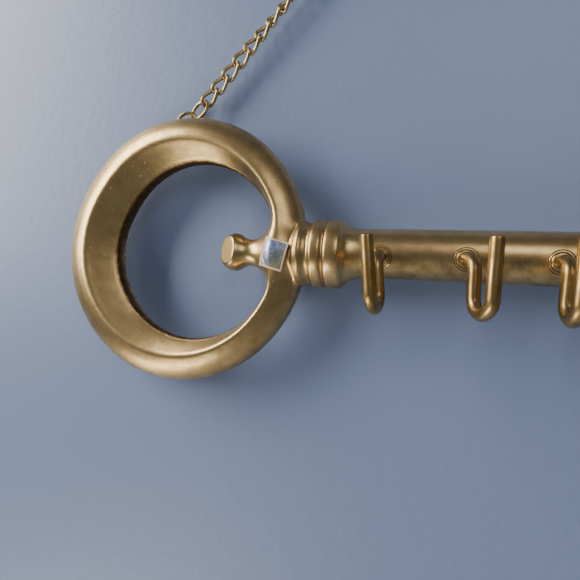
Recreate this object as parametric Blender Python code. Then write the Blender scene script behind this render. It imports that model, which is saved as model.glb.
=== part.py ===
"""Wall-hung brass key rack: a skeleton key casting with wire hooks, hung from a nail by a curb chain.

Everything is placed in rack coordinates first: x runs from the bow's left edge along the shank, y = 0 is the
wall with the room at negative y, and z = 0 is the shank's axis. The origin is the nail, so every position
goes through place() or is reckoned down the chain from the nail. All lengths are in metres.
"""
import math

import bmesh
import bpy
from mathutils import Matrix, Vector

MM = 0.001

# Driving dimensions of the casting
BOW_RADIUS = 45.0 * MM
AXIS_Y = -11.0 * MM           # the shank's axis stands this far off the wall
SHANK_RADIUS = 7.4 * MM
KEY_LENGTH = 254.0 * MM
HOLE_CENTRE_X = 50.4 * MM     # the bow's hole is off centre, so the ring is thickest on the left
HOLE_CENTRE_Z = -0.7 * MM
HOLE_RADIUS = 29.5 * MM
FLAT_ANGLE, FLAT_SPREAD, FLAT_SHARE = math.radians(148), math.radians(24), 0.022   # the rim, upper left
STUB_DROP, COLLAR_DROP = 0.9 * MM, 0.6 * MM   # the stub and the collar sit a little below the shank's axis
BOW_BACK_Y = -6.5 * MM
RIDGE_Y = -16.4 * MM
BIT_LEFT, BIT_RIGHT, BIT_TOP = 215.0 * MM, 242.5 * MM, 44.5 * MM
BIT_FRONT_Y, BIT_BACK_Y = -13.2 * MM, -6.8 * MM
SLOT_WIDTH, SLOT_DEPTH = 3.0 * MM, 15.0 * MM

# Hooks
HOOK_COUNT = 5
FIRST_HOOK_X = 113.5 * MM
HOOK_SPACING = 22.6 * MM
HOOK_WIRE_RADIUS = 1.75 * MM
HOOK_ROOT_Z = -1.5 * MM
HOOK_ROOT_DEPTH = 6.0 * MM
HOOK_BEND_RADIUS = 4.0 * MM
HOOK_BOTTOM_Z = -16.0 * MM
HOOK_BOWL_RADIUS = 4.25 * MM
HOOK_TIP_Z = 2.6 * MM
HOOK_TIP_SPREAD = 0.5 * MM
FIT_GAP = 0.3 * MM
# each hook has been knocked a little out of true: (turn about the vertical, turn about its own root)
HOOK_TURNS = ((-9.0, 6.0), (24.0, 0.0), (2.0, -2.0), (-3.0, 2.0), (4.0, 0.0))

# Foil label
LABEL_WIDTH, LABEL_HEIGHT, LABEL_THICKNESS = 8.0 * MM, 9.2 * MM, 0.2 * MM
LABEL_PLACE = (81.55 * MM, -17.5 * MM, -1.8 * MM)
LABEL_TURN, LABEL_SLOPE = math.radians(14), math.radians(8)

# Chain
CHAIN_Y = -4.2 * MM
EYE_Z = 42.5 * MM
LEFT_EYE_X = 38.7 * MM
EYE_RADIUS, EYE_WIRE_RADIUS = 2.4 * MM, 0.75 * MM
RING_RADIUS, RING_WIRE_RADIUS = 3.9 * MM, 0.6 * MM
LINK_LENGTH, LINK_WIDTH, LINK_WIRE_RADIUS = 8.5 * MM, 5.2 * MM, 0.63 * MM
LINK_PITCH = 5.8 * MM
MIDDLE_LINK_WIDTH = 5.7 * MM      # the link on the nail is flat, and a little wider than the others
MIDDLE_REACH = 2.0 * MM           # from the nail to where each half of the chain starts
RING_TO_RING = 6.4 * MM
RING_TO_LINK = 6.1 * MM
LINK_TWIST = math.radians(45)
CHAIN_ROLL = math.radians(45)     # the links hang rolled about the chain by the one on the nail,
FACING_LINKS, EASING_LINKS = 4, 3   # and come round over three to face the room in the last four
UPPER_RING_TWIST, LOWER_RING_TWIST = math.radians(27), math.radians(-15)
LEFT_CHAIN_SLOPE = math.radians(49.2)
LEFT_GROUPS = (1, 4, 4, 4, 5)     # links in each stretch that bends as one, counted down from the nail
RIGHT_GROUPS = (1, 5, 5, 5, 6)


def chain_length(groups):
    """From the eye's centre to where the half of the chain starts at the middle link."""
    return RING_RADIUS + RING_TO_RING + RING_TO_LINK + LINK_PITCH * (sum(groups) - 0.5)


RISE = chain_length(LEFT_GROUPS) * math.sin(LEFT_CHAIN_SLOPE)
RIGHT_CHAIN_SLOPE = math.asin(RISE / chain_length(RIGHT_GROUPS))
NAIL = Vector((
    LEFT_EYE_X + chain_length(LEFT_GROUPS) * math.cos(LEFT_CHAIN_SLOPE) + MIDDLE_REACH,
    CHAIN_Y,
    EYE_Z + RISE,
))
RIGHT_EYE_X = NAIL.x + MIDDLE_REACH + chain_length(RIGHT_GROUPS) * math.cos(RIGHT_CHAIN_SLOPE)


def chain_pull(slope, sign):
    """The way up along a half of the chain; sign is 1 where that leans to the right."""
    return Vector((sign * math.cos(slope), 0.0, math.sin(slope)))


def place(x, y, z):
    """A point in rack coordinates, seen from the nail."""
    return Vector((x, y, z)) - NAIL


def material(name, colour, roughness):
    made = bpy.data.materials.new(name)
    made.use_nodes = True
    shader = made.node_tree.nodes["Principled BSDF"]
    shader.inputs["Base Color"].default_value = (*colour, 1.0)
    shader.inputs["Roughness"].default_value = roughness
    shader.inputs["Metallic"].default_value = 1.0
    return made


def make_object(name, mesh):
    made = bpy.data.objects.new(name, mesh)
    bpy.context.scene.collection.objects.link(made)
    return made


def make_guide(name, mesh):
    """A solid that only a Boolean reads."""
    guide = make_object(name, mesh)
    guide.hide_render = True
    guide.display_type = "WIRE"
    return guide


def give_material(made, finish):
    made.data.materials.clear()
    made.data.materials.append(finish)
    made.data.shade_smooth()
    made.data.set_sharp_from_angle(angle=math.radians(35))


def make_empty(name, location):
    made = bpy.data.objects.new(name, None)
    made.empty_display_size = 5 * MM
    made.location = location
    bpy.context.scene.collection.objects.link(made)
    return made


def mesh_from_rings(name, rings, closed_along, capped=False):
    """A skin over successive rings of points, each ring closed on itself."""
    bm = bmesh.new()
    rows = [[bm.verts.new(p) for p in ring] for ring in rings]
    spans = list(zip(rows, rows[1:] + rows[:1] if closed_along else rows[1:]))
    for row, following in spans:
        for i in range(len(row)):
            j = (i + 1) % len(row)
            bm.faces.new((row[i], row[j], following[j], following[i]))
    if capped:
        bm.faces.new(rows[0])
        bm.faces.new(rows[-1])
    bmesh.ops.recalc_face_normals(bm, faces=bm.faces)
    mesh = bpy.data.meshes.new(name)
    bm.to_mesh(mesh)
    bm.free()
    return mesh


def tube_mesh(name, path, radius, sides, closed=False):
    """A round wire along a path, carried without twist."""
    count = len(path)
    tangents = []
    for i in range(count):
        if closed:
            before, after = path[i - 1], path[(i + 1) % count]
        else:
            before, after = path[max(i - 1, 0)], path[min(i + 1, count - 1)]
        tangents.append((after - before).normalized())
    side = tangents[0].orthogonal().normalized()
    sides_along = []
    for tangent in tangents:
        side = (side - tangent * side.dot(tangent)).normalized()
        sides_along.append(side)
    # the frame of a closed wire comes back turned; the turn is shared out along it
    slip = 0.0
    if closed:
        last = (side - tangents[0] * side.dot(tangents[0])).normalized()
        slip = math.atan2(tangents[0].dot(last.cross(sides_along[0])), last.dot(sides_along[0]))
    rings = []
    for i, (point, tangent, side) in enumerate(zip(path, tangents, sides_along)):
        up = tangent.cross(side)
        turn = slip * i / count
        ring = []
        for k in range(sides):
            a = turn + 2 * math.pi * k / sides
            ring.append(point + radius * (math.cos(a) * side + math.sin(a) * up))
        rings.append(ring)
    return mesh_from_rings(name, rings, closed, capped=not closed)


def arc(centre_a, centre_b, radius, start, end, steps):
    """Points on an arc in a plane, from start to end in degrees."""
    angles = [math.radians(start + (end - start) * i / steps) for i in range(steps + 1)]
    return [(centre_a + radius * math.cos(a), centre_b + radius * math.sin(a)) for a in angles]


def bow_mesh(steps=56):
    """The crescent ring: a skin over rails, each a circle with a centre of its own, a little flattened."""
    hole = (HOLE_CENTRE_X, HOLE_CENTRE_Z)
    rails = (  # centre x, centre z, radius, y
        (BOW_RADIUS, 0.0, BOW_RADIUS, -9.8 * MM),
        (BOW_RADIUS + 0.3 * MM, 0.0, 43.4 * MM, -13.0 * MM),
        (BOW_RADIUS + 0.8 * MM, 0.0, 40.4 * MM, -15.4 * MM),
        (BOW_RADIUS + 1.2 * MM, 0.0, 36.4 * MM, RIDGE_Y),
        (HOLE_CENTRE_X - 2.0 * MM, HOLE_CENTRE_Z / 2, 33.0 * MM, -14.5 * MM),
        (*hole, HOLE_RADIUS + 0.4 * MM, -11.6 * MM),
        (*hole, HOLE_RADIUS, -9.4 * MM),
        (*hole, HOLE_RADIUS + 0.9 * MM, BOW_BACK_Y),
        (BOW_RADIUS, 0.0, BOW_RADIUS - 1.5 * MM, BOW_BACK_Y),
        (BOW_RADIUS, 0.0, BOW_RADIUS - 0.25 * MM, -8.0 * MM),
    )
    rings = []
    for i in range(steps):
        a = 2 * math.pi * i / steps
        flat = 1.0 - FLAT_SHARE * math.exp(-((a - FLAT_ANGLE) / FLAT_SPREAD) ** 2)
        ring = [place(cx + r * flat * math.cos(a), y, cz + r * flat * math.sin(a)) for cx, cz, r, y in rails]
        rings.append(ring)
    return mesh_from_rings("bow", rings, closed_along=True)


def turned_profile():
    """(x, radius) in mm down the turned line: stub, collar, shank and rounded end."""
    knob = [(61.6, 1.2), (61.8, 2.8), (62.5, 4.4), (64.2, 5.6), (65.9, 6.15), (67.4, 6.1), (68.7, 5.3)]
    neck = [(70.2, 4.5), (72.0, 4.15), (74.4, 4.3), (77.0, 4.9)]
    flare = [(80.0, 5.6), (84.0, 6.2), (86.6, 7.0), (87.8, 8.6), (88.5, 9.8)]
    lip = [(89.2, 10.2), (90.2, 10.1), (91.0, 9.5), (92.3, 9.4)]
    first_bead = [(93.0, 10.1), (93.8, 10.45), (95.8, 10.45), (96.5, 10.1)]
    second_bead = [(97.1, 10.0), (97.8, 10.4), (99.2, 10.5), (101.2, 10.4), (102.0, 9.9)]
    taper = [(102.8, 8.9), (104.0, 8.1), (106.2, 7.55)]
    end = KEY_LENGTH / MM
    shank = [(110.0, SHANK_RADIUS / MM), (end - 4.0, SHANK_RADIUS / MM)]
    tip = arc(end - 4.0, SHANK_RADIUS / MM - 4.0, 4.0, 60, 10, 3)
    return knob + neck + flare + lip + first_bead + second_bead + taper + shank + tip


def axis_drop(x):
    """How far the turned line's axis is below the shank's: more at the stub, less at the collar."""
    drops = ((76.0, STUB_DROP), (90.0, COLLAR_DROP), (101.0, COLLAR_DROP), (110.0, 0.0))
    if x <= drops[0][0]:
        return STUB_DROP
    for (x0, drop0), (x1, drop1) in zip(drops, drops[1:]):
        if x <= x1:
            return drop0 + (drop1 - drop0) * (x - x0) / (x1 - x0)
    return 0.0


def turned_mesh(sides=28):
    rings = []
    for x, radius in turned_profile():
        ring = []
        for k in range(sides):
            a = 2 * math.pi * (k + 0.5) / sides
            y = AXIS_Y + radius * MM * math.cos(a)
            ring.append(place(x * MM, y, radius * MM * math.sin(a) - axis_drop(x)))
        rings.append(ring)
    return mesh_from_rings("turned", rings, closed_along=False, capped=True)


def plate_mesh(name, outline, front_y, back_y):
    """A flat plate: its outline in x and z, carried from front to back."""
    faces = [[place(x, y, z) for x, z in outline] for y in (front_y, back_y)]
    return mesh_from_rings(name, faces, closed_along=False, capped=True)


def bit_outline():
    """Three teeth standing up from the shank, cut by two slots."""
    corner = 2.0 * MM
    third = (BIT_RIGHT - BIT_LEFT) / 3
    slots = [BIT_LEFT + third * (k + 1) for k in range(2)]
    points = [(BIT_LEFT, 0.0), (BIT_LEFT, BIT_TOP - corner), (BIT_LEFT + corner, BIT_TOP)]
    for x in slots:
        left, right, floor = x - SLOT_WIDTH / 2, x + SLOT_WIDTH / 2, BIT_TOP - SLOT_DEPTH
        points += [(left, BIT_TOP), (left, floor), (right, floor), (right, BIT_TOP)]
    points += [(BIT_RIGHT - corner, BIT_TOP), (BIT_RIGHT, BIT_TOP - corner), (BIT_RIGHT, 0.0)]
    return points


def circle_path(radius, steps):
    """A circle in the X-Z plane."""
    angles = [2 * math.pi * i / steps for i in range(steps)]
    return [Vector((radius * math.cos(a), 0.0, radius * math.sin(a))) for a in angles]


def eye_mesh(x, pull):
    """A cast eye: a small hoop standing on edge behind the casting, leaning the way the chain pulls."""
    centre, out = place(x, CHAIN_Y, EYE_Z), Vector((0.0, 1.0, 0.0))
    angles = [2 * math.pi * i / 16 for i in range(16)]
    path = [centre + EYE_RADIUS * (math.cos(a) * out + math.sin(a) * pull) for a in angles]
    return tube_mesh("eye", path, EYE_WIRE_RADIUS, 8, closed=True)


def link_path(width, twist):
    """A chain link: an oval in the X-Z plane, each end of it turned by the twist, one way and the other."""
    end_radius = width / 2 - LINK_WIRE_RADIUS
    straight = LINK_LENGTH / 2 - LINK_WIRE_RADIUS - end_radius
    flat = arc(straight, 0.0, end_radius, -90, 90, 6) + arc(-straight, 0.0, end_radius, 90, 270, 6)
    path = []
    for along, across in flat:
        turn = twist * along / (straight + end_radius)
        path.append(Vector((along, across * math.sin(turn), across * math.cos(turn))))
    return path


def hook_path(x, turn, lean):
    """From inside the shank, forward and down, round the bowl and up to the tip."""
    knee = 1.5 * MM
    leg = knee + HOOK_BEND_RADIUS
    prong = leg + 2 * HOOK_BOWL_RADIUS
    flat = [(-HOOK_ROOT_DEPTH, HOOK_ROOT_Z), (0.0, HOOK_ROOT_Z)]
    flat += arc(knee, HOOK_ROOT_Z - HOOK_BEND_RADIUS, HOOK_BEND_RADIUS, 90, 0, 5)
    flat += arc(leg + HOOK_BOWL_RADIUS, HOOK_BOTTOM_Z + HOOK_BOWL_RADIUS, HOOK_BOWL_RADIUS, 180, 360, 9)
    flat += [(prong + 0.2 * MM, -4.0 * MM), (prong + HOOK_TIP_SPREAD, HOOK_TIP_Z)]
    sine, cosine = math.sin(math.radians(turn)), math.cos(math.radians(turn))
    swing = Matrix.Rotation(math.radians(-lean), 3, "Y")
    front_y = AXIS_Y - SHANK_RADIUS
    path = []
    for forward, z in flat:
        out = max(forward - knee, 0.0)
        offset = Vector((out * sine, -(forward - out) - out * cosine, z - HOOK_ROOT_Z))
        path.append(place(x, front_y, HOOK_ROOT_Z) + swing @ offset)
    return path


def hook_hole_mesh(x):
    radius = HOOK_WIRE_RADIUS + FIT_GAP
    front_y = AXIS_Y - SHANK_RADIUS
    rings = []
    for y in (front_y - 2 * MM, front_y + HOOK_ROOT_DEPTH + 2 * FIT_GAP):
        points = arc(x, HOOK_ROOT_Z, radius, 0, 360 - 360 / 16, 15)
        rings.append([place(px, y, pz) for px, pz in points])
    return mesh_from_rings("hook_hole", rings, closed_along=False, capped=True)


def combine(target, guide, operation):
    modifier = target.modifiers.new(guide.name, "BOOLEAN")
    modifier.operation = operation
    modifier.solver = "EXACT"
    modifier.object = guide


def build_casting(finish, parent):
    casting = make_object("key_casting", bow_mesh())
    for name, mesh in (
        ("turned", turned_mesh()),
        ("bit", plate_mesh("bit", bit_outline(), BIT_FRONT_Y, BIT_BACK_Y)),
        ("left_eye", eye_mesh(LEFT_EYE_X, chain_pull(LEFT_CHAIN_SLOPE, 1))),
        ("right_eye", eye_mesh(RIGHT_EYE_X, chain_pull(RIGHT_CHAIN_SLOPE, -1))),
    ):
        combine(casting, make_guide(f"guide_{name}", mesh), "UNION")
    for x in hook_places():
        combine(casting, make_guide("guide_hook_hole", hook_hole_mesh(x)), "DIFFERENCE")
    give_material(casting, finish)
    hang(casting, parent)


def hook_places():
    return [FIRST_HOOK_X + HOOK_SPACING * k for k in range(HOOK_COUNT)]


def hang(piece, parent):
    """Parents a piece that is already in place to the empty on its joint."""
    piece.parent = parent
    piece.matrix_parent_inverse = Matrix.Translation(-parent.location)


def build_hooks(finish, parent):
    for number, (x, (turn, lean)) in enumerate(zip(hook_places(), HOOK_TURNS), 1):
        mesh = tube_mesh("hook", hook_path(x, turn, lean), HOOK_WIRE_RADIUS, 8)
        hook = make_object(f"hook_{number}", mesh)
        give_material(hook, finish)
        hang(hook, parent)


def build_label(finish, parent):
    """A small foil sticker, stuck a little askew on the slope between the stub and the collar."""
    corners = ((-1, -1), (-1, 1), (1, 1), (1, -1))
    sheets = []
    for y in (-LABEL_THICKNESS, 0.0):
        sheets.append([Vector((a * LABEL_WIDTH / 2, y, b * LABEL_HEIGHT / 2)) for a, b in corners])
    label = make_object("foil_label", mesh_from_rings("label", sheets, closed_along=False, capped=True))
    lie = Matrix.Rotation(-LABEL_SLOPE, 4, "Z") @ Matrix.Rotation(LABEL_TURN, 4, "Y")
    label.matrix_world = Matrix.Translation(place(*LABEL_PLACE)) @ lie
    give_material(label, finish)
    hang(label, parent)


def distances_down(groups):
    """How far down its half of the chain each hinge is, counted from where the half starts."""
    links = [LINK_PITCH * sum(groups[:k]) for k in range(1, len(groups))]
    upper_ring = LINK_PITCH * (sum(groups) - 0.5) + RING_TO_LINK - RING_RADIUS
    return links + [upper_ring, upper_ring + RING_TO_RING]


def hinge_heights():
    """The hinges of the two halves turn together, so each pair has one height: the mean of the two."""
    left = [d * math.sin(LEFT_CHAIN_SLOPE) for d in distances_down(LEFT_GROUPS)]
    right = [d * math.sin(RIGHT_CHAIN_SLOPE) for d in distances_down(RIGHT_GROUPS)]
    return [-(a + b) / 2 for a, b in zip(left, right)]


def link_roll(number, count):
    """How far a link is rolled about the chain, from its number down from the nail."""
    over_facing = count - FACING_LINKS - number
    return CHAIN_ROLL * min(max(over_facing / EASING_LINKS, 0.0), 1.0)


def build_chain(side, groups, slope, sign, link_mesh, ring_mesh):
    """One half of the chain, from the nail down to its eye; sign is -1 on the left and 1 on the right."""
    down = -chain_pull(slope, -sign)
    top = Vector((sign * MIDDLE_REACH, 0.0, 0.0))
    lie = Matrix.Rotation(sign * slope, 4, "Y")
    names = [f"chain_{k}" for k in range(2, len(groups) + 1)] + ["upper_ring", "lower_ring"]
    empties = [make_empty(f"pivot_{side}_chain_1", Vector())]
    for name, height in zip(names, hinge_heights()):
        empties.append(make_empty(f"pivot_{side}_{name}", top + down * (height / down.z)))

    number = 0
    for count, empty in zip(groups, empties):
        for _ in range(count):
            centre = top + down * LINK_PITCH * (number + 0.5)
            roll = link_roll(number, sum(groups))
            number += 1
            link = make_object(f"{side}_link_{number:02d}", link_mesh)
            link.matrix_world = Matrix.Translation(centre) @ lie @ Matrix.Rotation(sign * roll, 4, "X")
            hang(link, empty)
    for name, twist, along, empty in zip(
        ("upper_ring", "lower_ring"),
        (UPPER_RING_TWIST, LOWER_RING_TWIST),
        distances_down(groups)[-2:],
        empties[-2:],
    ):
        centre = top + down * (along + RING_RADIUS)
        ring = make_object(f"{side}_{name}", ring_mesh)
        ring.matrix_world = Matrix.Translation(centre) @ lie @ Matrix.Rotation(sign * twist, 4, "X")
        hang(ring, empty)


def build():
    for old in list(bpy.data.objects):
        bpy.data.objects.remove(old, do_unlink=True)
    cast_brass = material("cast_brass", (0.46, 0.30, 0.13), 0.36)
    wire_brass = material("wire_brass", (0.42, 0.29, 0.12), 0.30)
    chain_brass = material("chain_brass", (0.52, 0.40, 0.18), 0.30)
    foil = material("foil", (0.62, 0.66, 0.74), 0.35)

    key_empty = make_empty("pivot_key", place(LEFT_EYE_X, CHAIN_Y, EYE_Z))
    build_casting(cast_brass, key_empty)
    build_hooks(wire_brass, key_empty)
    build_label(foil, key_empty)

    middle_path = link_path(MIDDLE_LINK_WIDTH, 0.0)
    middle = tube_mesh("middle_link", middle_path, LINK_WIRE_RADIUS, 5, closed=True)
    give_material(make_object("middle_link", middle), chain_brass)
    curb = tube_mesh("curb_link", link_path(LINK_WIDTH, LINK_TWIST), LINK_WIRE_RADIUS, 5, closed=True)
    ring = tube_mesh("jump_ring", circle_path(RING_RADIUS, 18), RING_WIRE_RADIUS, 6, closed=True)
    for mesh in (curb, ring):
        mesh.materials.append(chain_brass)
        mesh.shade_smooth()
    build_chain("left", LEFT_GROUPS, LEFT_CHAIN_SLOPE, -1, curb, ring)
    build_chain("right", RIGHT_GROUPS, RIGHT_CHAIN_SLOPE, 1, curb, ring)


build()
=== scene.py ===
"""Looks of the wall-hung brass key rack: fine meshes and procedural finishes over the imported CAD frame.

Rack coordinates, in millimetres: x runs from the bow's left edge along the shank, y = 0 is the wall with
the room at negative y, and z = 0 is the shank's axis. place() turns them into the frame's metres, whose
origin is the nail.
"""
import math

import bmesh
import bpy
import numpy as np
from mathutils import Matrix, Vector, noise
from mathutils.bvhtree import BVHTree


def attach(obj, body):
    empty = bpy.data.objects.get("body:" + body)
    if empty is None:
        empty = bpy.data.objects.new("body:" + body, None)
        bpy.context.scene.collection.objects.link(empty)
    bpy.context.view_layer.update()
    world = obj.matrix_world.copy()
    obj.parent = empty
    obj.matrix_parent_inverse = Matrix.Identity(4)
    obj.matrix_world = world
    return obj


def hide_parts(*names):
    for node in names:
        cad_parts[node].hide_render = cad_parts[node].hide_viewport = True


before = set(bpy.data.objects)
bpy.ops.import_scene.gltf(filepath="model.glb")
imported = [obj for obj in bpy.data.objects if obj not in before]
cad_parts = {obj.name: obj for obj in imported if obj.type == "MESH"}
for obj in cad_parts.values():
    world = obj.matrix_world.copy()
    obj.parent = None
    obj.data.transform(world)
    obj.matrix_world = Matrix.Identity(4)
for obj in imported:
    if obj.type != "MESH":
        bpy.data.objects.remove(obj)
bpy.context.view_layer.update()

MM = 0.001
WALL_Y = 4.2 * MM

# Casting
AXIS_Y, SHANK_RADIUS, KEY_LENGTH = -11.0, 7.4, 254.0
HOLE_CENTRE_X, HOLE_CENTRE_Z = 50.8, -0.8
AXIS_DROPS = (0.0, 76.0, 90.0, 101.0, 110.0, 300.0), (0.9, 0.9, 0.6, 0.6, 0.0, 0.0)
CHAIN_Y, EYE_Z, LEFT_EYE_X = -4.2, 42.5, 38.7
EYE_RADIUS, EYE_WIRE = 2.4, 0.75
BIT_LEFT, BIT_RIGHT, BIT_TOP, BIT_FRONT, BIT_BACK = 215.0, 242.5, 44.5, -13.2, -6.8
SLOT_WIDTH, SLOT_DEPTH = 3.0, 15.0

# Label
LABEL_WIDTH, LABEL_HEIGHT, LABEL_TURN, LABEL_SLOPE = 8.0, 9.2, math.radians(14), math.radians(8)

# Hooks
FIRST_HOOK_X, HOOK_SPACING, HOOK_WIRE = 113.5, 22.6, 1.75
HOOK_ROOT_Z, HOOK_BEND, HOOK_BOTTOM, HOOK_BOWL, HOOK_TIP = -1.5, 4.0, -16.0, 4.25, 2.6
HOOK_TURNS = ((-9.0, 6.0), (24.0, 0.0), (2.0, -2.0), (-3.0, 2.0), (4.0, 0.0))

# Chain
RING_RADIUS, RING_WIRE = 3.9, 0.6
LINK_LENGTH, LINK_WIDTH, LINK_WIRE, MIDDLE_LINK_WIDTH = 8.5, 5.2, 0.63, 5.7
LINK_PITCH, MIDDLE_REACH, RING_TO_RING, RING_TO_LINK = 5.8, 2.0, 6.4, 6.1
LINK_TWIST = math.radians(45)
CHAIN_ROLL, FACING_LINKS, EASING_LINKS = 45.0, 4, 3
UPPER_RING_TWIST, LOWER_RING_TWIST = 27.0, -15.0
LEFT_SLOPE = math.radians(49.2)
LEFT_GROUPS, RIGHT_GROUPS = (1, 4, 4, 4, 5), (1, 5, 5, 5, 6)


def half_length(groups):
    return RING_RADIUS + RING_TO_RING + RING_TO_LINK + LINK_PITCH * (sum(groups) - 0.5)


RISE = half_length(LEFT_GROUPS) * math.sin(LEFT_SLOPE)
RIGHT_SLOPE = math.asin(RISE / half_length(RIGHT_GROUPS))
NAIL_X = LEFT_EYE_X + half_length(LEFT_GROUPS) * math.cos(LEFT_SLOPE) + MIDDLE_REACH
NAIL = Vector((NAIL_X, CHAIN_Y, EYE_Z + RISE))
RIGHT_EYE_X = NAIL_X + MIDDLE_REACH + half_length(RIGHT_GROUPS) * math.cos(RIGHT_SLOPE)


def place(x, y, z):
    return (Vector((x, y, z)) - NAIL) * MM


LABEL_PLACE = place(81.55, -17.45, -1.8)


def placed(points):
    """place() for an array of points, in rack millimetres."""
    return (np.asarray(points, float) - np.array(NAIL)) * MM


# ---------------------------------------------------------------- mesh helpers

def link_object(name, mesh, material, body, slot, *nodes):
    made = bpy.data.objects.new(name, mesh)
    bpy.context.scene.collection.objects.link(made)
    if not mesh.materials:
        mesh.materials.append(material)
    mesh.shade_smooth()
    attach(made, body)
    if nodes:
        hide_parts(*nodes)
    return made


def grid_mesh(name, rows, closed_along, capped):
    """A skin over rows of points (metres), each row closed on itself."""
    rows = np.asarray(rows, float)
    count, width = rows.shape[:2]
    faces = []
    for i in range(count if closed_along else count - 1):
        a, b = i * width, ((i + 1) % count) * width
        for j in range(width):
            k = (j + 1) % width
            faces.append((a + j, a + k, b + k, b + j))
    if capped:
        faces.append(tuple(range(width)))
        faces.append(tuple((count - 1) * width + j for j in range(width)))
    mesh = bpy.data.meshes.new(name)
    mesh.from_pydata(rows.reshape(-1, 3).tolist(), [], faces)
    bm = bmesh.new()
    bm.from_mesh(mesh)
    bmesh.ops.recalc_face_normals(bm, faces=bm.faces)
    bm.to_mesh(mesh)
    bm.free()
    return mesh


def smooth_path(points, steps, closed=False):
    """A Catmull-Rom curve through the points, with as many steps between each two."""
    points = np.asarray(points, float)
    count = len(points)
    spans = count if closed else count - 1
    out = []
    for i in range(spans):
        if closed:
            p = [points[(i + k) % count] for k in (-1, 0, 1, 2)]
        else:
            p = [points[min(max(i + k, 0), count - 1)] for k in (-1, 0, 1, 2)]
        for s in range(steps):
            t = s / steps
            out.append(0.5 * (2 * p[1] + (p[2] - p[0]) * t + (2 * p[0] - 5 * p[1] + 4 * p[2] - p[3]) * t * t
                              + (3 * p[1] - p[0] - 3 * p[2] + p[3]) * t ** 3))
    if not closed:
        out.append(points[-1])
    return np.array(out)


def tube(name, path, radii, sides, closed=False):
    """A round wire along a path in rack millimetres; radii gives its radius at each point."""
    path = np.asarray(path, float)
    count = len(path)
    if closed:
        tangents = np.roll(path, -1, 0) - np.roll(path, 1, 0)
    else:
        tangents = np.gradient(path, axis=0)
    tangents /= np.linalg.norm(tangents, axis=1)[:, None]
    side = np.array(Vector(tangents[0]).orthogonal().normalized())
    frames = []
    for tangent in tangents:
        side = side - tangent * side.dot(tangent)
        side /= np.linalg.norm(side)
        frames.append(side)
    slip = 0.0
    if closed:
        last = side - tangents[0] * side.dot(tangents[0])
        slip = math.atan2(tangents[0].dot(np.cross(last, frames[0])), last.dot(frames[0]))
    rows = []
    for i in range(count):
        up = np.cross(tangents[i], frames[i])
        angles = slip * i / count + 2 * math.pi * np.arange(sides) / sides
        hoop = np.outer(np.cos(angles), frames[i]) + np.outer(np.sin(angles), up)
        rows.append(path[i] + radii[i] * hoop)
    return grid_mesh(name, placed(rows), closed, not closed)


def arc(centre_a, centre_b, radius, start, end, steps):
    angles = np.radians(np.linspace(start, end, steps + 1))
    return [(centre_a + radius * math.cos(a), centre_b + radius * math.sin(a)) for a in angles]


# ---------------------------------------------------------------- finishes

def new_material(name):
    made = bpy.data.materials.new(name)
    made.use_nodes = True
    return made, made.node_tree, made.node_tree.nodes["Principled BSDF"]


def math_node(tree, operation, a, b=None, c=None, clamp=False):
    made = tree.nodes.new("ShaderNodeMath")
    made.operation, made.use_clamp = operation, clamp
    for socket, value in zip(made.inputs, (a, b, c)):
        if value is None:
            continue
        if isinstance(value, (int, float)):
            socket.default_value = value
        else:
            tree.links.new(value, socket)
    return made.outputs[0]


def ramp(tree, value, *stops):
    made = tree.nodes.new("ShaderNodeValToRGB")
    elements = made.color_ramp.elements
    while len(elements) < len(stops):
        elements.new(0.5)
    for element, (position, colour) in zip(elements, stops):
        element.position = position
        element.color = (*colour, 1.0) if isinstance(colour, tuple) else (colour,) * 3 + (1.0,)
    tree.links.new(value, made.inputs[0])
    return made.outputs[0]


def span(tree, value, low, high, out_low=0.0, out_high=1.0):
    made = tree.nodes.new("ShaderNodeMapRange")
    made.inputs["From Min"].default_value, made.inputs["From Max"].default_value = low, high
    made.inputs["To Min"].default_value, made.inputs["To Max"].default_value = out_low, out_high
    tree.links.new(value, made.inputs[0])
    return made.outputs[0]


def mix(tree, share, a, b):
    made = tree.nodes.new("ShaderNodeMix")
    made.data_type = "RGBA"
    for socket, value in ((made.inputs[0], share), (made.inputs[6], a), (made.inputs[7], b)):
        if isinstance(value, (int, float)):
            socket.default_value = value
        elif isinstance(value, tuple):
            socket.default_value = (*value, 1.0)
        else:
            tree.links.new(value, socket)
    return made.outputs[2]


def noise_field(tree, coords, scale, detail=4.0, roughness=0.55, stretch=None):
    """Noise with its scale in features per metre; stretch squeezes it along the axes."""
    source = coords
    if stretch is not None:
        mapping = tree.nodes.new("ShaderNodeMapping")
        mapping.inputs["Scale"].default_value = stretch
        tree.links.new(coords, mapping.inputs[0])
        source = mapping.outputs[0]
    made = tree.nodes.new("ShaderNodeTexNoise")
    made.inputs["Scale"].default_value = scale
    made.inputs["Detail"].default_value = detail
    made.inputs["Roughness"].default_value = roughness
    tree.links.new(source, made.inputs["Vector"])
    return made.outputs["Fac"]


def pits_field(tree, coords, scale, size):
    """1 on the surface and falling to 0 in scattered round pits."""
    cells = tree.nodes.new("ShaderNodeTexVoronoi")
    cells.inputs["Scale"].default_value = scale
    tree.links.new(coords, cells.inputs["Vector"])
    return span(tree, cells.outputs["Distance"], 0.0, size)


def bump(tree, height, strength, distance, base=None):
    made = tree.nodes.new("ShaderNodeBump")
    made.inputs["Strength"].default_value = strength
    made.inputs["Distance"].default_value = distance
    tree.links.new(height, made.inputs["Height"])
    if base is not None:
        tree.links.new(base, made.inputs["Normal"])
    return made.outputs[0]


def object_coords(tree):
    return tree.nodes.new("ShaderNodeTexCoord").outputs["Object"]


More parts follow.
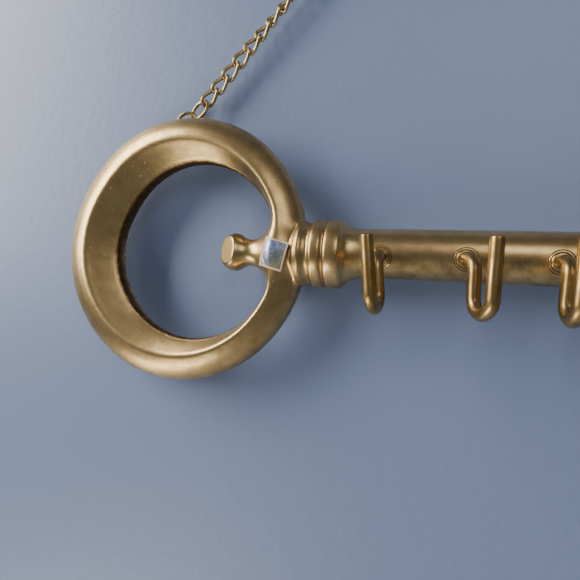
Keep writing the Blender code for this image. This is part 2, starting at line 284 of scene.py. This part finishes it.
def aged_brass(name, bright, mid, dark, roughness, mottling, grain, wear_and_shade=None):
    """Worn brass: mottled between a rubbed and a browned colour, with pits and scratches; wear_and_shade
    adds marks and painted shade in given places.
    """
    made, tree, shader = new_material(name)
    coords = object_coords(tree)
    clouds = noise_field(tree, coords, 55.0, 5.0, 0.6)
    blotches = noise_field(tree, coords, 260.0, 3.0, 0.5)
    mottle = math_node(tree, "ADD", math_node(tree, "MULTIPLY", clouds, 0.6),
                       math_node(tree, "MULTIPLY", blotches, 0.4))
    colour = ramp(tree, mottle, (0.5 - mottling, dark), (0.5, mid), (0.5 + mottling, bright))

    pits = pits_field(tree, coords, 260.0, 0.07)
    specks = pits_field(tree, coords, 800.0, 0.09)
    hollow = math_node(tree, "MINIMUM", pits, specks)
    colour = mix(tree, span(tree, hollow, 0.0, 1.0, 0.75, 0.0), colour, tuple(c * 0.18 for c in dark))

    rough = span(tree, mottle, 0.3, 0.7, roughness + 0.035, roughness - 0.025)

    scratches = noise_field(tree, coords, 1500.0, 2.0, 0.5, stretch=(0.06, 1.0, 1.0))
    lumps = noise_field(tree, coords, 420.0, 3.0, 0.5)
    normal = bump(tree, lumps, 1.0, grain * MM)
    normal = bump(tree, scratches, 1.0, 0.12 * grain * MM, normal)
    normal = bump(tree, hollow, 1.0, 0.10 * MM, normal)
    if wear_and_shade is not None:
        colour, rough, normal = wear_and_shade(tree, coords, colour, rough, normal)
    tree.links.new(colour, shader.inputs["Base Color"])
    tree.links.new(rough, shader.inputs["Roughness"])
    tree.links.new(normal, shader.inputs["Normal"])
    shader.inputs["Metallic"].default_value = 1.0
    return made


def add_hole_wall_and_shade(tree, coords, colour, rough, normal):
    """The wall of the bow's hole: rough as cast, and coloured near-black as painted shade of the deep hole.
    """
    split = tree.nodes.new("ShaderNodeSeparateXYZ")
    tree.links.new(coords, split.inputs[0])
    x, y, z = split.outputs
    hole = place(HOLE_CENTRE_X, 0.0, HOLE_CENTRE_Z)
    dx, dz = math_node(tree, "SUBTRACT", x, hole.x), math_node(tree, "SUBTRACT", z, hole.z)
    away = math_node(tree, "SQRT", math_node(tree, "ADD", math_node(tree, "MULTIPLY", dx, dx),
                                             math_node(tree, "MULTIPLY", dz, dz)))
    ragged = noise_field(tree, coords, 500.0, 5.0, 0.65)
    inside = span(tree, math_node(tree, "ADD", away, span(tree, ragged, 0.3, 0.7, -0.4 * MM, 0.4 * MM)),
                  30.7 * MM, 30.1 * MM)
    behind = span(tree, y, place(0, -12.6, 0).y, place(0, -11.8, 0).y)
    off_stub = span(tree, x, place(80.0, 0, 0).x, place(76.0, 0, 0).x)
    stub_band = span(tree, math_node(tree, "ABSOLUTE", dz), 6.5 * MM, 9.0 * MM)
    left = span(tree, x, place(58.0, 0, 0).x, place(56.0, 0, 0).x)
    wall = math_node(tree, "MULTIPLY", math_node(tree, "MULTIPLY", inside, behind),
                     math_node(tree, "MULTIPLY", off_stub, math_node(tree, "MAXIMUM", stub_band, left)))
    # painted shade: the hole's wall, deepest towards the wall, coloured near-black; the added roughness and
    # bumps are the as-cast surface
    cast_and_painted_shade = ramp(tree, ragged, (0.35, (0.035, 0.022, 0.010)), (0.62, (0.13, 0.082, 0.036)))
    colour = mix(tree, math_node(tree, "MULTIPLY", wall, 0.92), colour, cast_and_painted_shade)
    rough = math_node(tree, "ADD", rough, math_node(tree, "MULTIPLY", wall, 0.22))
    return colour, rough, bump(tree, math_node(tree, "MULTIPLY", ragged, wall), 1.0, 0.35 * MM, normal)


def add_shank_grooves_and_shade(tree, coords, colour, rough, normal):
    """Two scribed circles round each hook's root, and patchy grey-green painted shade on the shank's lower
    front.
    """
    split = tree.nodes.new("ShaderNodeSeparateXYZ")
    tree.links.new(coords, split.inputs[0])
    x, y, z = split.outputs
    first = place(FIRST_HOOK_X, 0, 0).x
    root = place(0, 0, HOOK_ROOT_Z).z
    pitch = HOOK_SPACING * MM
    wrapped = math_node(tree, "WRAP", math_node(tree, "SUBTRACT", x, first), -pitch / 2, pitch / 2)
    dz = math_node(tree, "SUBTRACT", z, root)
    away = math_node(tree, "SQRT", math_node(tree, "ADD", math_node(tree, "MULTIPLY", wrapped, wrapped),
                                             math_node(tree, "MULTIPLY", dz, dz)))
    grooves = None
    for radius, width in ((2.45, 0.22), (3.1, 0.16)):
        off = math_node(tree, "ABSOLUTE", math_node(tree, "SUBTRACT", away, radius * MM))
        groove = span(tree, off, 0.0, width * MM)
        grooves = groove if grooves is None else math_node(tree, "MINIMUM", grooves, groove)
    front = span(tree, y, place(0, AXIS_Y - 3.0, 0).y, place(0, AXIS_Y - 2.0, 0).y, 0.0, 1.0)
    on_collar = span(tree, x, place(106.0, 0, 0).x, place(107.0, 0, 0).x, 1.0, 0.0)
    off_front = math_node(tree, "MAXIMUM", on_collar, front)
    past = span(tree, x, place(209.0, 0, 0).x, place(210.0, 0, 0).x)
    grooves = math_node(tree, "MAXIMUM", grooves, math_node(tree, "MAXIMUM", off_front, past))
    normal = bump(tree, grooves, 1.0, 0.16 * MM, normal)
    colour = mix(tree, span(tree, grooves, 0.0, 1.0, 0.7, 0.0), colour, (0.05, 0.028, 0.010))

    # painted shade: grey-green darkening in patches, kept to the shank's lower half
    shade_patches = noise_field(tree, coords, 120.0, 6.0, 0.68)
    low = span(tree, z, place(0, 0, 1.2).z, place(0, 0, -1.8).z)
    beyond_collar = span(tree, x, place(103.5, 0, 0).x, place(107.0, 0, 0).x)
    painted_low_shade = math_node(tree, "MULTIPLY", math_node(tree, "MULTIPLY", low, beyond_collar),
                        span(tree, shade_patches, 0.42, 0.62), clamp=True)
    colour = mix(tree, math_node(tree, "MULTIPLY", painted_low_shade, 0.72), colour, (0.105, 0.092, 0.052))
    rough = math_node(tree, "ADD", rough, math_node(tree, "MULTIPLY", painted_low_shade, 0.16))
    return colour, rough, normal


def wire_brass(name, bright, dark, roughness):
    """Smooth drawn wire, browned unevenly, with draw lines."""
    made, tree, shader = new_material(name)
    coords = object_coords(tree)
    clouds = noise_field(tree, coords, 190.0, 5.0, 0.6)
    colour = ramp(tree, clouds, (0.34, dark), (0.66, bright))
    lines = noise_field(tree, coords, 900.0, 3.0, 0.5, stretch=(1.0, 1.0, 0.12))
    specks = pits_field(tree, coords, 700.0, 0.10)
    colour = mix(tree, span(tree, specks, 0.0, 1.0, 0.6, 0.0), colour, tuple(c * 0.3 for c in dark))
    tree.links.new(colour, shader.inputs["Base Color"])
    rough = span(tree, clouds, 0.3, 0.7, roughness + 0.08, roughness - 0.05)
    tree.links.new(rough, shader.inputs["Roughness"])
    normal = bump(tree, lines, 1.0, 0.02 * MM)
    tree.links.new(bump(tree, specks, 1.0, 0.04 * MM, normal), shader.inputs["Normal"])
    shader.inputs["Metallic"].default_value = 1.0
    return made


def foil_finish(name, centre, right, up, half_width, half_height):
    """A blank printed foil: a mottled silver-blue field inside a pale gold border."""
    made, tree, shader = new_material(name)
    coords = object_coords(tree)
    offset = tree.nodes.new("ShaderNodeVectorMath")
    offset.operation = "SUBTRACT"
    offset.inputs[1].default_value = centre
    tree.links.new(coords, offset.inputs[0])
    along = []
    for axis, half in ((right, half_width), (up, half_height)):
        dot = tree.nodes.new("ShaderNodeVectorMath")
        dot.operation = "DOT_PRODUCT"
        dot.inputs[1].default_value = axis / half
        tree.links.new(offset.outputs[0], dot.inputs[0])
        along.append(dot.outputs["Value"])
    across, upward = (math_node(tree, "ABSOLUTE", share) for share in along)
    edge = math_node(tree, "MAXIMUM", across, upward)
    border = span(tree, edge, 0.84, 0.87)
    outline = math_node(tree, "MULTIPLY", span(tree, edge, 0.78, 0.81), span(tree, edge, 0.87, 0.84))
    tint = math_node(tree, "ADD", math_node(tree, "MULTIPLY", along[1], 0.36),
                     math_node(tree, "MULTIPLY", along[0], -0.22))
    drift = math_node(tree, "MULTIPLY", noise_field(tree, coords, 700.0, 3.0), 0.9)
    tint = math_node(tree, "ADD", tint, drift)
    field = ramp(tree, tint, (0.05, (0.46, 0.44, 0.20)), (0.38, (0.25, 0.27, 0.33)),
                 (0.62, (0.30, 0.36, 0.52)), (0.95, (0.16, 0.24, 0.62)))
    flakes = noise_field(tree, coords, 2600.0, 2.0, 0.5)
    field = mix(tree, span(tree, flakes, 0.52, 0.66, 0.0, 0.55), field, (0.72, 0.74, 0.80))
    field = mix(tree, math_node(tree, "MULTIPLY", outline, 0.7), field, (0.16, 0.15, 0.20))
    colour = mix(tree, border, field, (0.72, 0.53, 0.36))
    tree.links.new(colour, shader.inputs["Base Color"])
    tree.links.new(span(tree, border, 0.0, 1.0, 0.32, 0.5), shader.inputs["Roughness"])
    tree.links.new(span(tree, border, 0.0, 1.0, 0.75, 0.25), shader.inputs["Metallic"])
    tree.links.new(bump(tree, flakes, 1.0, 0.03 * MM), shader.inputs["Normal"])
    return made


def plain(name, colour, roughness, grain=0.0):
    made, tree, shader = new_material(name)
    shader.inputs["Roughness"].default_value = roughness
    coords = object_coords(tree)
    clouds = noise_field(tree, coords, 3.0, 3.0)
    tone = ramp(tree, clouds, (0.3, tuple(c * 0.97 for c in colour)), (0.7, colour))
    tree.links.new(tone, shader.inputs["Base Color"])
    if grain:
        texture = noise_field(tree, coords, 320.0, 3.0)
        tree.links.new(bump(tree, texture, 1.0, grain), shader.inputs["Normal"])
    return made


# ---------------------------------------------------------------- casting

# rails round the crescent ring, from its rim over the ridge to the hole: centre x, centre z, radius, y
BOW_RAILS = (
    (45.0, 0.0, 45.0, -9.7), (45.1, 0.0, 44.6, -11.5), (45.3, 0.0, 43.4, -13.2), (45.6, 0.0, 41.5, -14.6),
    (45.9, 0.0, 39.5, -15.6), (46.1, 0.0, 37.6, -16.2), (46.2, 0.0, 36.7, -16.4), (46.3, 0.0, 36.1, -16.4),
    (46.5, -0.1, 35.4, -16.1), (47.1, -0.2, 34.4, -15.4), (48.8, -0.4, 32.5, -14.0),
    (50.4, -0.7, 30.6, -12.5), (50.8, -0.8, 29.9, -11.7), (50.8, -0.8, 29.65, -10.8),
    (50.8, -0.8, 29.8, -9.0), (50.6, -0.8, 30.4, -7.2), (50.2, -0.7, 31.3, -6.5), (45.0, 0.0, 43.2, -6.5),
    (45.0, 0.0, 44.5, -7.4),
)
FLAT_ANGLE, FLAT_SPREAD, FLAT_SHARE = math.radians(148), math.radians(24), 0.022   # the rim, upper left
KNOB_FACET_AT, KNOB_FACET_WAY = (66.6, AXIS_Y - 5.0, -0.9), (-0.55, -0.83, 0.05)


def bow_rows(steps=320, between=5):
    section = smooth_path(BOW_RAILS, between, closed=True)
    angles = 2 * math.pi * np.arange(steps) / steps
    flat = 1.0 - FLAT_SHARE * np.exp(-((angles - FLAT_ANGLE) / FLAT_SPREAD) ** 2)
    radius = section[None, :, 2] * flat[:, None]
    rows = np.empty((steps, len(section), 3))
    rows[:, :, 0] = section[None, :, 0] + radius * np.cos(angles)[:, None]
    rows[:, :, 1] = section[None, :, 3]
    rows[:, :, 2] = section[None, :, 1] + radius * np.sin(angles)[:, None]
    return rows


def turned_rows(profile, sides):
    profile = np.asarray(profile, float)
    angles = 2 * math.pi * (np.arange(sides) + 0.5) / sides
    rows = np.empty((len(profile), sides, 3))
    rows[:, :, 0] = profile[:, 0, None]
    rows[:, :, 1] = AXIS_Y + profile[:, 1, None] * np.cos(angles)
    rows[:, :, 2] = profile[:, 1, None] * np.sin(angles) - np.interp(profile[:, 0], *AXIS_DROPS)[:, None]
    return rows


def stub_profile():
    knob = [(61.6, 0.4), (61.75, 2.6), (62.4, 4.2), (64.0, 5.5), (65.8, 6.1), (67.2, 6.1), (68.6, 5.35)]
    neck = [(70.1, 4.55), (72.0, 4.15), (74.2, 4.3), (77.0, 4.9), (80.0, 5.6), (84.0, 6.2), (86.4, 6.9),
            (87.6, 8.3), (88.3, 9.5), (91.0, 9.3)]
    return smooth_path(knob + neck, 7)


def collar_profile():
    lip = [(88.5, 9.0), (88.7, 9.85), (89.2, 10.15), (89.8, 10.15), (90.3, 9.95), (90.9, 9.6)]
    cove = [(91.5, 9.38), (92.2, 9.38), (92.8, 9.75)]
    first_bead = [(93.1, 10.15), (93.6, 10.42), (94.4, 10.5), (95.3, 10.5), (95.95, 10.4), (96.3, 10.15)]
    fine_groove = [(96.55, 9.85), (96.7, 9.85), (96.85, 10.02), (97.0, 10.02), (97.15, 9.87), (97.35, 10.1)]
    second_bead = [(97.65, 10.35), (98.3, 10.5), (99.6, 10.55), (100.9, 10.45), (101.6, 10.2), (102.1, 9.75)]
    taper = [(102.6, 9.15), (103.3, 8.55), (104.3, 8.05), (105.8, 7.65), (107.6, 7.44)]
    taper += [(109.0, SHANK_RADIUS)]
    turned = smooth_path(lip + cove + first_bead + fine_groove + second_bead + taper, 4)
    shank = [(x, SHANK_RADIUS) for x in np.arange(110.0, KEY_LENGTH - 4.0, 1.0)]
    tip = arc(KEY_LENGTH - 4.0, SHANK_RADIUS - 4.0, 4.0, 90, 6, 12) + [(KEY_LENGTH, 1.0)]
    return np.vstack([turned, shank, tip])


def tree_of(mesh):
    return BVHTree.FromPolygons([v.co for v in mesh.vertices], [tuple(p.vertices) for p in mesh.polygons])


def signed_distance(tree, point):
    found, normal, _, distance = tree.find_nearest(point)
    if (point - found).dot(normal) < 0.0:
        return -distance, (found - point) / max(distance, 1e-9)
    if distance < 1e-9:
        return 0.0, normal
    return distance, (point - found) / distance


def smooth_larger(a, grow_a, b, grow_b, rounding):
    share = max(rounding - abs(a - b), 0.0) / rounding
    value = max(a, b) + share * share * rounding / 4
    near, far = (grow_a, grow_b) if a > b else (grow_b, grow_a)
    return value, near * (1 - share / 2) + far * (share / 2)


def blended(point, trees, facet):
    """The smooth union of the ring and the stub, and the way it grows; a plane cuts the stub's knob."""
    ring, grow_ring = signed_distance(trees[0], point)
    stub, grow_stub = signed_distance(trees[1], point)
    cut_at, cut_normal = facet
    stub, grow_stub = smooth_larger(stub, grow_stub, (point - cut_at).dot(cut_normal), cut_normal, 0.3 * MM)
    x = point.x / MM + NAIL.x
    reach = MM * min(max(10.0 - (x - 80.0) * 1.1, 2.2), 10.0)
    value, grow = smooth_larger(-ring, -grow_ring, -stub, -grow_stub, reach)
    return -value, -grow


def remeshed(meshes, voxel):
    """One skin over several closed meshes, in even voxels."""
    bm = bmesh.new()
    for mesh in meshes:
        bm.from_mesh(mesh)
    joined = bpy.data.meshes.new("joined")
    bm.to_mesh(joined)
    bm.free()
    helper = bpy.data.objects.new("joined", joined)
    bpy.context.scene.collection.objects.link(helper)
    modifier = helper.modifiers.new("skin", "REMESH")
    modifier.mode, modifier.voxel_size = "VOXEL", voxel
    skin = bpy.data.meshes.new_from_object(helper.evaluated_get(bpy.context.evaluated_depsgraph_get()))
    bpy.data.objects.remove(helper)
    return skin


def unevenness(point, amount, scale):
    return amount * noise.noise(point * scale)


def bow_casting_mesh():
    bow = grid_mesh("bow", placed(bow_rows()), True, False)
    stub = grid_mesh("stub", placed(turned_rows(stub_profile(), 96)), False, True)
    skin = remeshed((bow, stub), 0.5 * MM)
    trees = (tree_of(bow), tree_of(stub))
    facet = (place(*KNOB_FACET_AT), Vector(KNOB_FACET_WAY).normalized())
    for vertex in skin.vertices:
        point = vertex.co.copy()
        for _ in range(4):
            value, grow = blended(point, trees, facet)
            length = grow.length_squared
            if length < 1e-6:
                break
            point -= grow * (value / length)
        lift = unevenness(point, 0.10 * MM, 60.0) + unevenness(point, 0.035 * MM, 210.0)
        vertex.co = point + grow * lift
    smooth_skin(skin, 2)
    return skin


def smooth_skin(mesh, times):
    bm = bmesh.new()
    bm.from_mesh(mesh)
    for _ in range(times):
        bmesh.ops.smooth_vert(
            bm, verts=bm.verts, factor=0.5, use_axis_x=True, use_axis_y=True, use_axis_z=True)
    bm.to_mesh(mesh)
    bm.free()


def shank_mesh(sides=160):
    rows = placed(turned_rows(collar_profile(), sides))
    for row in rows:
        centre = row.mean(axis=0)
        for i, p in enumerate(row):
            lift = unevenness(Vector(p), 0.07 * MM, 90.0) + unevenness(Vector(p), 0.03 * MM, 260.0)
            row[i] = p + (p - centre) / np.linalg.norm(p - centre) * lift
    return grid_mesh("collar_and_shank", rows, False, True)


def eye_mesh(name, x, slope, sign):
    pull = np.array((sign * math.cos(slope), 0.0, math.sin(slope)))
    out = np.array((0.0, 1.0, 0.0))
    angles = 2 * math.pi * np.arange(40) / 40
    centre = np.array((x, CHAIN_Y, EYE_Z))
    path = centre + EYE_RADIUS * (np.outer(np.cos(angles), out) + np.outer(np.sin(angles), pull))
    return tube(name, path, [EYE_WIRE] * 40, 16, closed=True)


def bit_mesh():
    """Three teeth standing up from the shank, their edges rubbed round."""
    third = (BIT_RIGHT - BIT_LEFT) / 3
    corner = 2.0
    points = [(BIT_LEFT, 0.0), (BIT_LEFT, BIT_TOP - corner), (BIT_LEFT + corner, BIT_TOP)]
    for k in range(2):
        x = BIT_LEFT + third * (k + 1)
        left, right, floor = x - SLOT_WIDTH / 2, x + SLOT_WIDTH / 2, BIT_TOP - SLOT_DEPTH
        points += [(left, BIT_TOP), (left, floor), (right, floor), (right, BIT_TOP)]
    points += [(BIT_RIGHT - corner, BIT_TOP), (BIT_RIGHT, BIT_TOP - corner), (BIT_RIGHT, 0.0)]
    rows = [[place(x, y, z) for x, z in points] for y in (BIT_FRONT, BIT_BACK)]
    mesh = grid_mesh("bit", rows, False, True)
    bm = bmesh.new()
    bm.from_mesh(mesh)
    edges = [e for e in bm.edges if e.calc_face_angle(0.0) > math.radians(20)]
    bmesh.ops.bevel(bm, geom=edges, offset=0.55 * MM, segments=4, profile=0.5, affect="EDGES")
    bm.to_mesh(mesh)
    bm.free()
    return mesh


# ---------------------------------------------------------------- hooks, label and chain

def hook_mesh(number, x, turn, lean):
    knee = 1.5
    leg = knee + HOOK_BEND
    prong = leg + 2 * HOOK_BOWL
    flat = [(-4.0, HOOK_ROOT_Z), (-1.0, HOOK_ROOT_Z), (0.6, HOOK_ROOT_Z)]
    flat += arc(knee, HOOK_ROOT_Z - HOOK_BEND, HOOK_BEND, 90, 0, 6)
    flat += [(leg, -8.5)]
    flat += arc(leg + HOOK_BOWL, HOOK_BOTTOM + HOOK_BOWL, HOOK_BOWL, 180, 360, 10)
    flat += [(prong + 0.15, -7.5), (prong + 0.3, -3.0), (prong + 0.5, HOOK_TIP)]
    sine, cosine = math.sin(math.radians(turn)), math.cos(math.radians(turn))
    swing = Matrix.Rotation(math.radians(-lean), 3, "Y")
    root = Vector((x, AXIS_Y - SHANK_RADIUS, HOOK_ROOT_Z))
    path = []
    for forward, z in flat:
        out = max(forward - knee, 0.0)
        offset = Vector((out * sine, -(forward - out) - out * cosine, z - HOOK_ROOT_Z))
        path.append(root + swing @ offset)
    path = smooth_path(path, 6)
    wander = [noise.noise(Vector((number * 7.0, i * 0.05, 0.0))) for i in range(len(path))]
    path = np.array([Vector(p) + Vector((w, 0.0, 0.0)) * 0.12 for p, w in zip(path, wander)])
    end = (path[-1] - path[-2]) / np.linalg.norm(path[-1] - path[-2])
    path = np.vstack([path[:-1], path[-1] - 0.28 * end, path[-1] - 0.08 * end, path[-1]])
    radii = [HOOK_WIRE] * (len(path) - 3) + [HOOK_WIRE, HOOK_WIRE - 0.09, HOOK_WIRE - 0.3]
    return tube(f"hook_{number}", path, radii, 28)


def label_axes():
    lie = Matrix.Rotation(-LABEL_SLOPE, 3, "Z") @ Matrix.Rotation(LABEL_TURN, 3, "Y")
    return lie @ Vector((1, 0, 0)), lie @ Vector((0, -1, 0)), lie @ Vector((0, 0, 1))


def label_mesh(surface):
    """The sticker, laid onto the casting."""
    right, front, up = label_axes()
    columns, rows = 25, 29
    heights = np.empty((rows, columns))
    base = []
    for j in range(rows):
        for i in range(columns):
            a, b = (i / (columns - 1) - 0.5) * LABEL_WIDTH * MM, (j / (rows - 1) - 0.5) * LABEL_HEIGHT * MM
            start = LABEL_PLACE + right * a + up * b
            base.append(start)
            hit = surface.ray_cast(start + front * 8 * MM, -front)
            heights[j, i] = (hit[0] - start).dot(front) if hit[0] is not None else -1.0 * MM
    relaxed = heights.copy()
    for _ in range(60):
        padded = np.pad(relaxed, 1, mode="reflect", reflect_type="odd")
        average = (padded[:-2, 1:-1] + padded[2:, 1:-1] + padded[1:-1, :-2] + padded[1:-1, 2:]) / 4
        relaxed = np.maximum(average, heights)
    # stiff, so it bends less than what it lies on
    laid = np.maximum(relaxed.mean() + 0.35 * (relaxed - relaxed.mean()), relaxed)
    points = []
    for layer in (0.14, 0.05):
        for p, h in zip(base, laid.ravel()):
            points.append(p + front * (h + layer * MM))
    faces, count = [], rows * columns
    for j in range(rows - 1):
        for i in range(columns - 1):
            a = j * columns + i
            faces.append((a, a + 1, a + columns + 1, a + columns))
            faces.append((count + a, count + a + columns, count + a + columns + 1, count + a + 1))
    rim = ([i for i in range(columns)] + [j * columns + columns - 1 for j in range(1, rows)]
           + [(rows - 1) * columns + i for i in range(columns - 2, -1, -1)]
           + [j * columns for j in range(rows - 2, 0, -1)])
    for a, b in zip(rim, rim[1:] + rim[:1]):
        faces.append((a, a + count, b + count, b))
    mesh = bpy.data.meshes.new("foil_label")
    mesh.from_pydata([tuple(p) for p in points], [], faces)
    bm = bmesh.new()
    bm.from_mesh(mesh)
    bmesh.ops.recalc_face_normals(bm, faces=bm.faces)
    bm.to_mesh(mesh)
    bm.free()
    return mesh


def link_shape(name, width, twist):
    """A chain link round its own centre: an oval in the X-Z plane, its ends turned by the twist."""
    end = width / 2 - LINK_WIRE
    straight = LINK_LENGTH / 2 - LINK_WIRE - end
    flat = arc(straight, 0.0, end, -90, 90, 12)[:-1] + [(straight * (1 - k / 3), end) for k in range(6)]
    flat += arc(-straight, 0.0, end, 90, 270, 12)[:-1] + [(straight * (k / 3 - 1), -end) for k in range(6)]
    path = []
    for along, across in flat:
        turn = twist * along / (straight + end)
        path.append((along, across * math.sin(turn), across * math.cos(turn)))
    return tube(name, np.array(path) + np.array(NAIL), [LINK_WIRE] * len(path), 12, closed=True)


def ring_shape(name):
    """A jump ring round its own centre, its two cut ends almost meeting."""
    angles = np.radians(np.linspace(4.0, 356.0, 72))
    path = np.array([(RING_RADIUS * math.cos(a), 0.0, RING_RADIUS * math.sin(a)) for a in angles])
    path[:, 1] += np.linspace(-0.12, 0.12, len(path))
    return tube(name, path + np.array(NAIL), [RING_WIRE] * len(path), 14)


def build_chain(side, groups, slope, sign, link, ring, finish):
    down = -Vector((-sign * math.cos(slope), 0.0, math.sin(slope)))
    top = Vector((sign * MIDDLE_REACH, 0.0, 0.0))
    lie = Matrix.Rotation(sign * slope, 4, "Y")

    def hang(name, mesh, along, roll, spin, body):
        made = link_object(f"{name}_wire", mesh, finish, body, "chain_brass", name)
        turn = (Matrix.Rotation(sign * math.radians(roll), 4, "X")
                @ Matrix.Rotation(math.radians(spin), 4, "Y"))
        made.matrix_world = Matrix.Translation((top + down * along) * MM) @ lie @ turn

    total = sum(groups)
    bodies = [f"{side}_chain_{group}" for group, count in enumerate(groups, 1) for _ in range(count)]
    for number, body in enumerate(bodies):
        roll = CHAIN_ROLL * min(max((total - FACING_LINKS - number) / EASING_LINKS, 0.0), 1.0)
        hang(f"{side}_link_{number + 1:02d}", link, LINK_PITCH * (number + 0.5), roll, 0.0, body)
    upper = LINK_PITCH * (total - 0.5) + RING_TO_LINK
    hang(f"{side}_upper_ring", ring, upper, UPPER_RING_TWIST, 200.0, f"{side}_upper_ring_body")
    hang(f"{side}_lower_ring", ring, upper + RING_TO_RING, LOWER_RING_TWIST, 60.0, f"{side}_lower_ring_body")


def build_object():
    tones = (0.78, 0.585, 0.26), (0.57, 0.395, 0.175), (0.36, 0.23, 0.10)
    cast = aged_brass("aged_cast_brass_and_hole_shade", *tones, 0.32, 0.24, 0.05, wear_and_shade=add_hole_wall_and_shade)
    shank = aged_brass("aged_shank_brass_and_shade", *tones, 0.32, 0.24, 0.05, wear_and_shade=add_shank_grooves_and_shade)
    wire = wire_brass("browned_hook_wire", (0.52, 0.36, 0.145), (0.28, 0.175, 0.065), 0.32)
    chain = wire_brass("chain_wire", (0.66, 0.50, 0.22), (0.42, 0.30, 0.12), 0.30)

    bow = bow_casting_mesh()
    link_object("bow_and_stub", bow, cast, "key", "cast_brass", "key_casting")
    link_object("collar_and_shank", shank_mesh(), shank, "key", "cast_brass")
    link_object("bit_teeth", bit_mesh(), cast, "key", "cast_brass")
    link_object("left_eye", eye_mesh("left_eye", LEFT_EYE_X, LEFT_SLOPE, 1), cast, "key", "cast_brass")
    link_object("right_eye", eye_mesh("right_eye", RIGHT_EYE_X, RIGHT_SLOPE, -1), cast, "key", "cast_brass")
    for number, (turn, lean) in enumerate(HOOK_TURNS, 1):
        x = FIRST_HOOK_X + HOOK_SPACING * (number - 1)
        mesh = hook_mesh(number, x, turn, lean)
        link_object(f"hook_{number}_wire", mesh, wire, "key", "wire_brass", f"hook_{number}")
    right, _, up = label_axes()
    foil = foil_finish("blank_foil", LABEL_PLACE, right, up, LABEL_WIDTH / 2 * MM, LABEL_HEIGHT / 2 * MM)
    link_object("label_foil", label_mesh(tree_of(bow)), foil, "key", "foil", "foil_label")

    middle = link_shape("middle_link", MIDDLE_LINK_WIDTH, 0.0)
    link_object("middle_link_wire", middle, chain, "nail_link", "chain_brass", "middle_link")
    link, ring = link_shape("curb_link", LINK_WIDTH, LINK_TWIST), ring_shape("jump_ring")
    build_chain("left", LEFT_GROUPS, LEFT_SLOPE, -1, link, ring, chain)
    build_chain("right", RIGHT_GROUPS, RIGHT_SLOPE, 1, link, ring, chain)


# ---------------------------------------------------------------- stage, light and camera

def show_from_front(material):
    """Makes a panel's finish clear from behind, so that the back of the rack can be looked at."""
    tree = material.node_tree
    clear, blend = tree.nodes.new("ShaderNodeBsdfTransparent"), tree.nodes.new("ShaderNodeMixShader")
    facing = tree.nodes.new("ShaderNodeNewGeometry")
    tree.links.new(facing.outputs["Backfacing"], blend.inputs[0])
    tree.links.new(tree.nodes["Principled BSDF"].outputs[0], blend.inputs[1])
    tree.links.new(clear.outputs[0], blend.inputs[2])
    tree.links.new(blend.outputs[0], tree.nodes["Material Output"].inputs["Surface"])


def build_stage():
    def panel(name, corners, material, shadow=True):
        mesh = bpy.data.meshes.new(name)
        mesh.from_pydata(corners, [], [(0, 1, 2, 3)])
        mesh.materials.append(material)
        made = bpy.data.objects.new(name, mesh)
        bpy.context.scene.collection.objects.link(made)
        made.visible_shadow = shadow

    wall = plain("pale_blue_wall", (0.20, 0.26, 0.435), 0.45, grain=0.10 * MM)
    floor = plain("pale_floor", (0.72, 0.72, 0.73), 0.7)
    w, low, high, front = 2.2, -1.2, 1.6, -3.0
    show_from_front(wall)
    corners = [(-w, WALL_Y, low), (w, WALL_Y, low), (w, WALL_Y, high), (-w, WALL_Y, high)]
    panel("wall", corners, wall, shadow=False)
    panel("floor", [(-w, front, low), (w, front, low), (w, -front, low), (-w, -front, low)], floor)


def area_light(name, place_at, target, size, power, colour):
    data = bpy.data.lights.new(name, "AREA")
    data.shape, data.size, data.size_y = "RECTANGLE", size[0], size[1]
    data.energy, data.color = power, colour
    lamp = bpy.data.objects.new(name, data)
    bpy.context.scene.collection.objects.link(lamp)
    lamp.location = place_at
    lamp.rotation_euler = (Vector(target) - Vector(place_at)).to_track_quat("-Z", "Y").to_euler()
    return lamp


def build_light():
    world = bpy.data.worlds.new("studio")
    bpy.context.scene.world = world
    world.use_nodes = True
    back = world.node_tree.nodes["Background"]
    back.inputs["Color"].default_value = (0.80, 0.87, 1.0, 1.0)
    back.inputs["Strength"].default_value = 0.13
    centre = place(80.0, -10.0, 10.0)
    for name, way, size, power, colour in (
        ("window", (-0.86, -0.46, 0.40), (0.45, 0.9), 17.0, (1.0, 0.97, 0.90)),
        ("low_bounce", (-0.50, -0.42, -0.72), (0.7, 0.25), 4.0, (1.0, 0.94, 0.80)),
        ("fill", (0.45, -1.05, 0.55), (0.6, 0.6), 2.8, (1.0, 0.95, 0.92)),
        ("behind", (0.30, 1.10, 0.60), (0.9, 0.9), 4.0, (0.97, 0.98, 1.0)),
    ):
        area_light(name, centre + Vector(way), centre, size, power, colour)


def build_camera():
    """A phone's main camera, close to the rack, turned a little to the left."""
    yaw, pitch, roll = math.radians(16.62), math.radians(1.12), math.radians(3.65)
    ahead = Vector((-math.sin(yaw) * math.cos(pitch), math.cos(yaw) * math.cos(pitch), math.sin(pitch)))
    level = Vector((math.cos(yaw), math.sin(yaw), 0.0))
    above = level.cross(ahead)
    right = math.cos(roll) * level + math.sin(roll) * above
    up = -math.sin(roll) * level + math.cos(roll) * above
    data = bpy.data.cameras.new("phone")
    data.sensor_width, data.lens = 36.0, 27.06
    data.clip_start, data.clip_end = 0.005, 20.0
    camera = bpy.data.objects.new("phone", data)
    bpy.context.scene.collection.objects.link(camera)
    turn = Matrix((right, up, -ahead)).transposed().to_4x4()
    camera.matrix_world = Matrix.Translation(place(124.8, -142.65, -15.0)) @ turn
    bpy.context.scene.camera = camera


build_object()
build_stage()
build_light()
build_camera()
